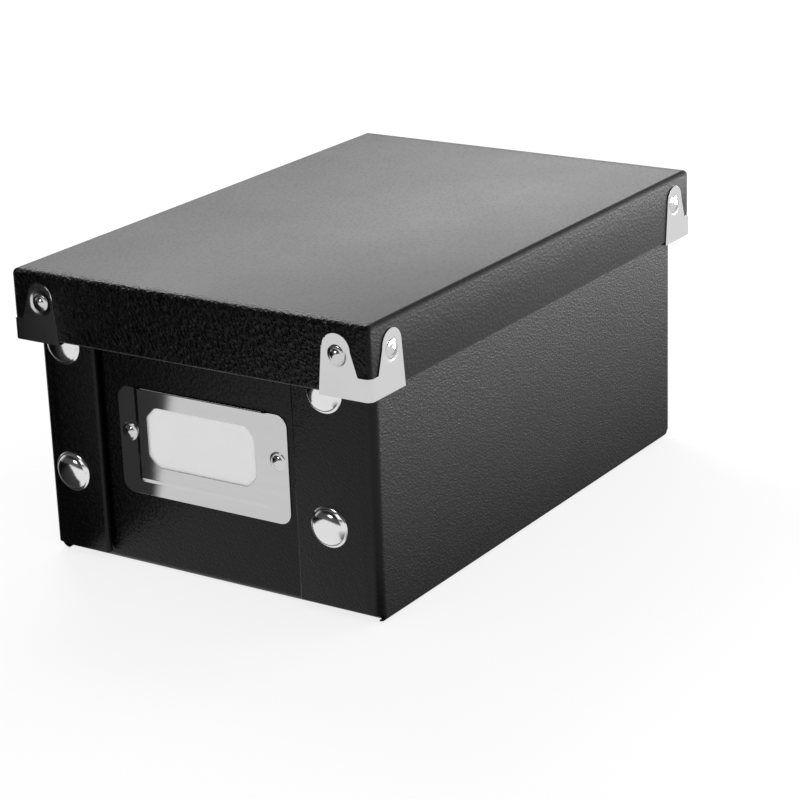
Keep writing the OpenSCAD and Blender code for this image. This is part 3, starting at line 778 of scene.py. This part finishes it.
def sink_seat(solid, seat, facing):
    """Cuts the outer face round a rivet into small cells and dips them towards the rivet."""
    up = Vector((0, 0, 1))
    level = max(vertex.co.dot(facing) for vertex in solid.verts) - SAME_CAD_POINT
    for along in (facing.cross(up), up):
        for offset in (0, *DISH_CUTS, *[-cut for cut in DISH_CUTS]):
            outer = [face for face in solid.faces
                     if min(vertex.co.dot(facing) for vertex in face.verts) > level]
            edges = dict.fromkeys(edge for face in outer for edge in face.edges)
            corners = dict.fromkeys(vertex for face in outer for vertex in face.verts)
            bmesh.ops.bisect_plane(solid, geom=[*outer, *edges, *corners], plane_co=seat + offset * along,
                                   plane_no=along, dist=SAME_POINT)
    for vertex in solid.verts:
        if vertex.co.dot(facing) > level:
            away = vertex.co - seat
            distance = (away - away.dot(facing) * facing).length
            share = min(max((DISH_RADIUS - distance) / DISH_SLOPE, 0.0), 1.0)
            vertex.co -= RIVET_SUNK * ease(share) * facing


# %% Pressed edges
EDGE_SEGMENTS = 2


def settle_mesh(piece):
    """Turns what the modifiers show into the piece's own mesh."""
    bpy.context.view_layer.update()
    depsgraph = bpy.context.evaluated_depsgraph_get()
    settled = bpy.data.meshes.new_from_object(piece.evaluated_get(depsgraph), depsgraph=depsgraph)
    piece.modifiers.clear()
    piece.data = settled


def press_edges(piece, width, angle, keep_sharp=False):
    """Rounds a stamping's sharp edges and keeps the shading of its flat faces flat."""
    bevel = piece.modifiers.new("pressed edges", "BEVEL")
    bevel.width = width
    bevel.segments = EDGE_SEGMENTS
    bevel.limit_method = "ANGLE"
    bevel.angle_limit = angle
    flat_first = piece.modifiers.new("flat faces first", "WEIGHTED_NORMAL")
    flat_first.mode = "FACE_AREA"
    flat_first.keep_sharp = keep_sharp
    settle_mesh(piece)


# %% Corner plates
FLAT_ANGLE = math.radians(0.5)
PLATE_EDGE = 0.26 * MM

for side, end, words in CORNERS:
    stamping = merged_copy(f"{words}_corner_plate")
    bmesh.ops.dissolve_limit(stamping, angle_limit=FLAT_ANGLE, verts=stamping.verts, edges=stamping.edges)
    for seat, facing in corner_seats:
        if side * seat.x > 0 and end * seat.y > 0:
            sink_seat(stamping, seat, facing)
    name = f"{words}_metal_corner"
    plate = add_piece(name, finished_mesh(stamping, name), plate_finish)
    press_edges(plate, PLATE_EDGE, SMOOTH_ANGLE)
    mount_piece(plate, "lid", "corner_plate", f"{words}_corner_plate")

# %% [markdown]
# ## Rivets and snaps
# Eight corner rivets, two label rivets, eight snap caps and eight snap posts are round parts that repeat,
# which is work for Geometry Nodes. One tree turns a curve into a domed head, adds a collar, a shank and a
# clinched tail, and sets a copy on every point of a small carrier mesh. The points and their directions
# come from the solids, so a head can't drift off its seat.

# %% Nodes for a dome and for a barrel
HEAD_RINGS = 18
HEAD_SIDES = 40


def dome_nodes(tree, width, height, fullness):
    """Nodes for a dome: a straight curve whose radius shrinks as it climbs."""
    line = add_node(tree, "GeometryNodeCurvePrimitiveLine", {"End": (0, 0, 1)})
    fine = add_node(tree, "GeometryNodeResampleCurve", {"Curve": line.outputs[0], "Count": HEAD_RINGS})
    along = add_node(tree, "GeometryNodeSplineParameter").outputs["Factor"]
    turn = product(tree, along, math.pi / 2)
    rise = add_math(tree, "POWER", add_math(tree, "SINE", turn), fullness)
    not_below_zero = add_math(tree, "MAXIMUM", add_math(tree, "COSINE", turn), 0.0)
    reach = product(tree, add_math(tree, "POWER", not_below_zero, fullness), product(tree, width, 0.5))
    place = add_node(tree, "ShaderNodeCombineXYZ", {"Z": product(tree, rise, height)})
    raised = add_node(tree, "GeometryNodeSetPosition", {"Geometry": fine.outputs[0],
                                                        "Position": place.outputs[0]})
    circle = add_node(tree, "GeometryNodeCurvePrimitiveCircle", {"Resolution": HEAD_SIDES, "Radius": 1.0})
    return add_node(tree, "GeometryNodeCurveToMesh", {"Curve": raised.outputs[0], "Scale": reach,
                                                      "Profile Curve": circle.outputs[0],
                                                      "Fill Caps": True}).outputs[0]


def barrel_nodes(tree, width, length, depth):
    """Nodes for a round barrel whose top lies at a depth under the seat."""
    barrel = add_node(tree, "GeometryNodeMeshCylinder", {"Vertices": HEAD_SIDES, "Depth": length,
                                                         "Radius": product(tree, width, 0.5)})
    both_ends = add_math(tree, "ADD", product(tree, depth, 2.0), length)
    place = add_node(tree, "ShaderNodeCombineXYZ", {"Z": product(tree, both_ends, -0.5)})
    return add_node(tree, "GeometryNodeTransform", {"Geometry": barrel.outputs["Mesh"],
                                                    "Translation": place.outputs[0]}).outputs[0]


# %% Tree for a domed fastener
COLLAR_FULLNESS = 0.5


def fastener_tree():
    tree, given, result = new_group(
        "domed_fastener", "GeometryNodeTree",
        [("Geometry", "NodeSocketGeometry", None), ("Collar Width", FLOAT, 0.0075),
         ("Collar Height", FLOAT, 0.0005), ("Crown Width", FLOAT, 0.005), ("Crown Height", FLOAT, 0.0012),
         ("Crown Fullness", FLOAT, 0.8), ("Shank Width", FLOAT, 0.0025), ("Grip", FLOAT, 0.003),
         ("Tail Width", FLOAT, 0.005), ("Tail Height", FLOAT, 0.0006),
         ("Material", "NodeSocketMaterial", None)],
        [("Geometry", "NodeSocketGeometry", None)])
    collar = dome_nodes(tree, given["Collar Width"], given["Collar Height"], COLLAR_FULLNESS)
    crown = dome_nodes(tree, given["Crown Width"], given["Crown Height"], given["Crown Fullness"])
    shank = barrel_nodes(tree, given["Shank Width"], given["Grip"], 0.0)
    tail = barrel_nodes(tree, given["Tail Width"], given["Tail Height"], given["Grip"])
    whole = add_node(tree, "GeometryNodeJoinGeometry")
    for part in (collar, crown, shank, tail):
        tree.links.new(part, whole.inputs[0])
    facing = add_node(tree, "GeometryNodeInputNamedAttribute", {"Name": "facing"}, data_type="FLOAT_VECTOR")
    turned = add_node(tree, "FunctionNodeAlignRotationToVector", {"Vector": facing.outputs[0]}, axis="Z")
    copies = add_node(tree, "GeometryNodeInstanceOnPoints", {"Points": given["Geometry"],
                                                             "Instance": whole.outputs[0],
                                                             "Rotation": turned.outputs[0]})
    solid = add_node(tree, "GeometryNodeRealizeInstances", {"Geometry": copies.outputs[0]})
    clean = add_node(tree, "GeometryNodeMergeByDistance", {"Geometry": solid.outputs[0],
                                                           "Distance": SAME_POINT})
    smooth = add_node(tree, "GeometryNodeSetShadeSmooth", {"Geometry": clean.outputs[0]})
    coloured = add_node(tree, "GeometryNodeSetMaterial", {"Geometry": smooth.outputs[0],
                                                          "Material": given["Material"]})
    tree.links.new(coloured.outputs[0], result["Geometry"])
    return tree


domed_fastener = fastener_tree()
print("tree made:", domed_fastener.name, "with", len(domed_fastener.nodes), "nodes")


# %% Set the fasteners
def set_fasteners(name, seats, sizes_mm, finish):
    """One piece with a fastener on each seat, all of one size."""
    carrier = bpy.data.meshes.new(name)
    carrier.from_pydata([seat for seat, facing in seats], [], [])
    directions = carrier.attributes.new("facing", "FLOAT_VECTOR", "POINT")
    for number, (seat, facing) in enumerate(seats):
        directions.data[number].vector = facing
    piece = bpy.data.objects.new(name, carrier)
    bpy.context.scene.collection.objects.link(piece)
    fasteners = piece.modifiers.new("fasteners", "NODES")
    fasteners.node_group = domed_fastener
    for socket in domed_fastener.interface.items_tree:
        if socket.in_out == "INPUT" and socket.name in sizes_mm:
            share = 1 if socket.name == "Crown Fullness" else MM
            fasteners[socket.identifier] = sizes_mm[socket.name] * share
        if socket.in_out == "INPUT" and socket.name == "Material":
            fasteners[socket.identifier] = finish
    settle_mesh(piece)
    piece.data.set_sharp_from_angle(angle=SMOOTH_ANGLE)
    return piece


# %% Rivets
RIVET_MM = {"Collar Width": 7.5, "Collar Height": 0.5, "Crown Width": 5.4, "Crown Height": 1.2,
            "Crown Fullness": 0.8, "Shank Width": 2.5, "Grip": 3.1, "Tail Width": 5, "Tail Height": 0.6}
SUNK_RIVET_MM = {**RIVET_MM, "Collar Height": 0.75, "Crown Height": 1.45, "Grip": 2.65}

lid_rivets = set_fasteners("lid_rivets", corner_seats, SUNK_RIVET_MM, rivet_finish)
mount_piece(lid_rivets, "lid", "rivet", "corner_rivets")
label_seats = fastener_seats("label_rivets", RIVET_HEAD)
holder_rivets = set_fasteners("label_holder_rivets", label_seats, RIVET_MM, rivet_finish)
mount_piece(holder_rivets, "front_end", "rivet", "label_rivets")

# %% Snaps
CAP_HEAD = 3 * MM
POST_HEAD = 0.6 * MM
CAP_MM = {"Collar Width": 16.6, "Collar Height": 1.2, "Crown Width": 15.4, "Crown Height": 3,
          "Crown Fullness": 0.4, "Shank Width": 4, "Grip": 1.4, "Tail Width": 3.6, "Tail Height": 0.2}
POST_MM = {"Collar Width": 9, "Collar Height": 0.6, "Crown Width": 5, "Crown Height": 0.6,
           "Crown Fullness": 0.9, "Shank Width": 3.2, "Grip": 2, "Tail Width": 2.8, "Tail Height": 0.2}

cap_nodes = [f"{words}_snap_caps" for side, end, words in CORNERS]
cap_seats = [seat for node_name in cap_nodes for seat in fastener_seats(node_name, CAP_HEAD)]
snap_caps = set_fasteners("flap_snap_caps", cap_seats, CAP_MM, snap_finish)
mount_piece(snap_caps, "base", "snap", *cap_nodes)
for word in ("front", "rear"):
    post_seats = fastener_seats(f"{word}_snap_posts", POST_HEAD, facing_out=False)
    posts = set_fasteners(f"{word}_snap_post_heads", post_seats, POST_MM, snap_finish)
    mount_piece(posts, f"{word}_end", "snap", f"{word}_snap_posts")

# %% [markdown]
# ## Label holder
# The holder is stamped from thin sheet. Its middle stands a little proud of the side and lower flanges,
# so that a card can slide in behind it from above, and it has a window with cut corners. The flat
# outline is filled first, then cut along the lines where the sheet bends, and last each point is lifted
# by how far it lies past those lines. That gives clean slopes with a mitre in each corner.

# %% Outline of the window
WINDOW_CUT = 4.3 * MM
WINDOW_ROUND = 1.2 * MM


def round_corners(outline, radius, steps=4):
    """The same outline with every corner rounded off."""
    points = []
    for number, corner in enumerate(outline):
        before, after = Vector(outline[number - 1]), Vector(outline[(number + 1) % len(outline)])
        corner = Vector(corner)
        start = corner + (before - corner).normalized() * radius
        stop = corner + (after - corner).normalized() * radius
        for step in range(steps + 1):
            share = step / steps
            points.append((1 - share) ** 2 * start + 2 * share * (1 - share) * corner + share ** 2 * stop)
    return points


def window_outline(middle_x, half_width, low, high):
    left, right, cut = middle_x - half_width, middle_x + half_width, WINDOW_CUT
    outline = [(left + cut, low), (right - cut, low), (right, low + cut), (right, high - cut),
               (right - cut, high), (left + cut, high), (left, high - cut), (left, low + cut)]
    return round_corners(outline, WINDOW_ROUND)


# %% Bends of the sheet
HOLDER_FLANGE = 8.1 * MM
HOLDER_FOOT = 5.0 * MM
HOLDER_SLOPE = 2.6 * MM
HOLDER_RISE = 1.0 * MM
SLOPE_PROFILE = [(0, 0), (0.12, 0.02), (0.24, 0.1), (0.76, 0.9), (0.88, 0.98), (1, 1)]


def bend_lines(low, high):
    """The upright and level lines along which the sheet is cut before it is lifted."""
    steps = [HOLDER_SLOPE * share for share, lift in SLOPE_PROFILE]
    upright = [low.x + HOLDER_FLANGE + step for step in steps]
    upright += [high.x - HOLDER_FLANGE - step for step in steps]
    level = [low.z + HOLDER_FOOT + step for step in steps]
    return upright, level


def lift_at(x, z, low, high):
    """How far the sheet stands over its flanges at one point."""
    past = min(x - low.x - HOLDER_FLANGE, high.x - HOLDER_FLANGE - x, z - low.z - HOLDER_FOOT)
    share = min(max(past / HOLDER_SLOPE, 0.0), 1.0)
    for (share_low, lift_low), (share_high, lift_high) in zip(SLOPE_PROFILE, SLOPE_PROFILE[1:]):
        if share <= share_high:
            break
    climbed = (share - share_low) / (share_high - share_low)
    return HOLDER_RISE * (lift_low + (lift_high - lift_low) * climbed)


# %% Label holder
HOLDER_CORNER = 5 * MM
HOLDER_SHEET = 0.5 * MM
SHEET_SHARE = 0.98
HOLDER_EDGE = 0.14 * MM
HOLDER_EDGE_ANGLE = math.radians(60)
WINDOW_IN = 6.55 * MM
WINDOW_UP = 13 * MM
WINDOW_HEIGHT = 24.8 * MM


def holder_mesh(low, high):
    sheet = bmesh.new()
    half_width, half_height = (high.x - low.x) / 2, (high.z - low.z) / 2
    middle_x, middle_z = (high.x + low.x) / 2, low.z + half_height
    outer = [(middle_x + point.x, middle_z + point.y)
             for point in soft_rectangle(half_width, half_height, HOLDER_CORNER, 0)]
    window_half = half_width - HOLDER_FLANGE - WINDOW_IN
    window = window_outline(middle_x, window_half, low.z + WINDOW_UP, low.z + WINDOW_UP + WINDOW_HEIGHT)
    edges = []
    for outline in (outer, window):
        loop = [sheet.verts.new((x, high.y, z)) for x, z in outline]
        edges += [sheet.edges.new((loop[number - 1], loop[number])) for number in range(len(loop))]
    bmesh.ops.triangle_fill(sheet, use_beauty=True, edges=edges)
    upright, level = bend_lines(low, high)
    cuts = [((x, 0, 0), (1, 0, 0)) for x in upright] + [((0, 0, z), (0, 0, 1)) for z in level]
    for place, across in cuts:
        bmesh.ops.bisect_plane(sheet, geom=[*sheet.verts, *sheet.edges, *sheet.faces], plane_co=place,
                               plane_no=across, dist=SAME_POINT)
    for vertex in sheet.verts:
        vertex.co.y = high.y - HOLDER_SHEET - lift_at(vertex.co.x, vertex.co.z, low, high)
    bmesh.ops.recalc_face_normals(sheet, faces=sheet.faces)
    if sum(face.normal.y * face.calc_area() for face in sheet.faces) > 0:
        bmesh.ops.reverse_faces(sheet, faces=sheet.faces)
    return finished_mesh(sheet, "stamped_label_holder")


holder_low, holder_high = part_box("label_holder")
holder = add_piece("stamped_label_holder", holder_mesh(holder_low, holder_high), holder_finish)
wall = holder.modifiers.new("sheet", "SOLIDIFY")
wall.thickness = HOLDER_SHEET * SHEET_SHARE
wall.offset = -1
press_edges(holder, HOLDER_EDGE, HOLDER_EDGE_ANGLE, keep_sharp=True)
mount_piece(holder, "front_end", "holder", "label_holder")

# %% [markdown]
# ## Floor and light
# The floor is plain and pale. Camera rays see it almost white but with the box's shadow. Rays that
# bounce off metal or gloss see a glowing sweep instead, as in the studio: bright on the right and behind,
# unlit towards the front left, which is why the left metal corner is dark in the picture and the right
# one bright. The floor close to the front's foot is bright as well, which shows in the holder's lower
# slope, and a dimmer strip beside the box darkens the low part of its right side.

# %% Floor
FLOOR_HALF = 6.0
FLOOR_DROP = 0.0003
FLOOR_TONE = 0.9
WHITE_SHARE = 0.8
SWEEP_EDGE = Vector((-0.0945, -0.197, 0))
SWEEP_ACROSS = Vector((0.817, -0.576, 0))
SWEEP_HALF_WIDTH = 0.003
UNLIT_ACROSS, UNLIT_TONES = (-0.09, -0.02), (0.004, 0.05)
BEHIND_Y = (-0.14, -0.02)
PATCH_X, PATCH_Y = (-0.07, -0.062), (-0.18, -0.17)
STRIP_X, STRIP_Y = (0.07, 0.08), (-0.22, -0.13)
STRIP_FADE_X, STRIP_TONE = (0.08, 0.17), 0.2

floor_mesh = bpy.data.meshes.new("floor")
floor_corners = [(FLOOR_HALF * x, FLOOR_HALF * y, -FLOOR_DROP)
                 for x, y in ((-1, -1), (1, -1), (1, 1), (-1, 1))]
floor_mesh.from_pydata(floor_corners, [], [(0, 1, 2, 3)])
floor = bpy.data.objects.new("floor", floor_mesh)
bpy.context.scene.collection.objects.link(floor)


def floor_patch(tree, spot, x_limits, y_limits):
    """A mask that is 1 past both pairs of limits."""
    return product(tree, map_range(tree, spot["X"], *x_limits), map_range(tree, spot["Y"], *y_limits))


def floor_finish():
    material = bpy.data.materials.new("pale_sweep")
    tree = blank_nodes(material)
    rays = add_node(tree, "ShaderNodeLightPath").outputs
    place = add_node(tree, "ShaderNodeTexCoord").outputs["Object"]
    spot = axis_values(tree, place)
    from_edge = vector_math(tree, "SUBTRACT", place, SWEEP_EDGE)
    across = vector_math(tree, "DOT_PRODUCT", from_edge, SWEEP_ACROSS)
    lit = map_range(tree, across, -SWEEP_HALF_WIDTH, SWEEP_HALF_WIDTH, soft=True)
    behind = map_range(tree, spot["Y"], *BEHIND_Y, soft=True)
    unlit = map_range(tree, across, *UNLIT_ACROSS, *UNLIT_TONES)
    for brighter in (behind, unlit, floor_patch(tree, spot, PATCH_X, PATCH_Y)):
        lit = add_math(tree, "MAXIMUM", lit, brighter)
    fading = map_range(tree, spot["X"], *STRIP_FADE_X, low=STRIP_TONE, soft=True)
    strip = mix_values(tree, floor_patch(tree, spot, STRIP_X, STRIP_Y), 1.0, fading)
    lit = product(tree, lit, strip)
    pale = add_node(tree, "ShaderNodeBsdfDiffuse", {"Color": grey(FLOOR_TONE)}).outputs[0]
    sheen = add_node(tree, "ShaderNodeEmission", {"Strength": lit}).outputs[0]
    white = add_node(tree, "ShaderNodeEmission", {"Strength": 1.0}).outputs[0]
    camera_ray, glossy_ray = rays["Is Camera Ray"], rays["Is Glossy Ray"]
    seen = add_node(tree, "ShaderNodeMixShader", {0: WHITE_SHARE, 1: pale, 2: white}).outputs[0]
    bounced = add_node(tree, "ShaderNodeMixShader", {0: glossy_ray, 1: pale, 2: sheen}).outputs[0]
    whole = add_node(tree, "ShaderNodeMixShader", {0: camera_ray, 1: bounced, 2: seen}).outputs[0]
    add_node(tree, "ShaderNodeOutputMaterial", {"Surface": whole})
    return material


floor_mesh.materials.append(floor_finish())
print("floor laid, metres across:", 2 * FLOOR_HALF)

# %% [markdown]
# The room is white where the camera looks, and lights all that is dull at a plain level. Gloss and
# metal see white walls, a darker ceiling and one dim wall towards the front left. Most lamps are large
# and soft, and what greys the lid's top is the reflection of those behind the box.

# %% World
ROOM_LIGHT = 0.65
CEILING_TONE = 0.12
WALL_TOP = (0.24, 0.52)
DIM_WALL = Vector((-0.35, -0.94, 0))
DIM_WALL_EDGE = (0.3, 0.75)
DIM_WALL_TONE = 0.08

world = bpy.data.worlds.new("white_room")
room = blank_nodes(world)
rays = add_node(room, "ShaderNodeLightPath").outputs
direction = add_node(room, "ShaderNodeTexCoord").outputs["Generated"]
walls = map_range(room, axis_values(room, direction)["Z"], *WALL_TOP, 1.0, CEILING_TONE, soft=True)
toward_dim = vector_math(room, "DOT_PRODUCT", direction, DIM_WALL)
dimmed = map_range(room, toward_dim, *DIM_WALL_EDGE, 1.0, DIM_WALL_TONE, soft=True)
walls = product(room, walls, dimmed)
white_seen = add_math(room, "MAXIMUM", rays["Is Camera Ray"], rays["Is Transmission Ray"])
strength = mix_values(room, rays["Is Glossy Ray"], ROOM_LIGHT, walls)
strength = mix_values(room, white_seen, strength, 1.0)
backdrop = add_node(room, "ShaderNodeBackground", {"Color": grey(1), "Strength": strength}).outputs[0]
add_node(room, "ShaderNodeOutputWorld", {"Surface": backdrop})
bpy.context.scene.world = world
print("world made:", world.name)


# %% Lamps
def add_lamp(name, place, aim, width, height, watts):
    """A softbox that only the camera can't see; places and sides are in metres."""
    light = bpy.data.lights.new(name, "AREA")
    light.shape = "RECTANGLE"
    light.size, light.size_y = width, height
    light.energy = watts
    lamp = bpy.data.objects.new(name, light)
    lamp.location = place
    lamp.rotation_euler = (Vector(aim) - Vector(place)).to_track_quat("-Z", "Y").to_euler()
    lamp.visible_camera = False
    bpy.context.scene.collection.objects.link(lamp)


add_lamp("key_softbox", (0.9, -0.7, 1.3), (0, 0, 0.05), 0.9, 0.9, 3)
add_lamp("rear_softbox", (-0.85, 1.5, 0.85), (0, 0, 0.1), 1.6, 0.9, 9.8)
add_lamp("rear_right_softbox", (-0.6, 1.5, 0.8), (0, 0, 0.1), 0.8, 0.9, 1.6)
add_lamp("side_softbox", (0.85, 1.15, 0.17), (0.08, 0, 0.1), 1.4, 0.32, 34)
add_lamp("front_softbox", (-0.3, -1.3, 0.5), (0, -0.12, 0.08), 0.3, 0.15, 1.2)
add_lamp("edge_softbox", (-0.62, 0.48, 0.95), (0, -0.1, 0.1), 0.35, 0.35, 5)
bpy.context.scene.view_settings.view_transform = "Standard"
print("lamps set:", len(bpy.data.lights))
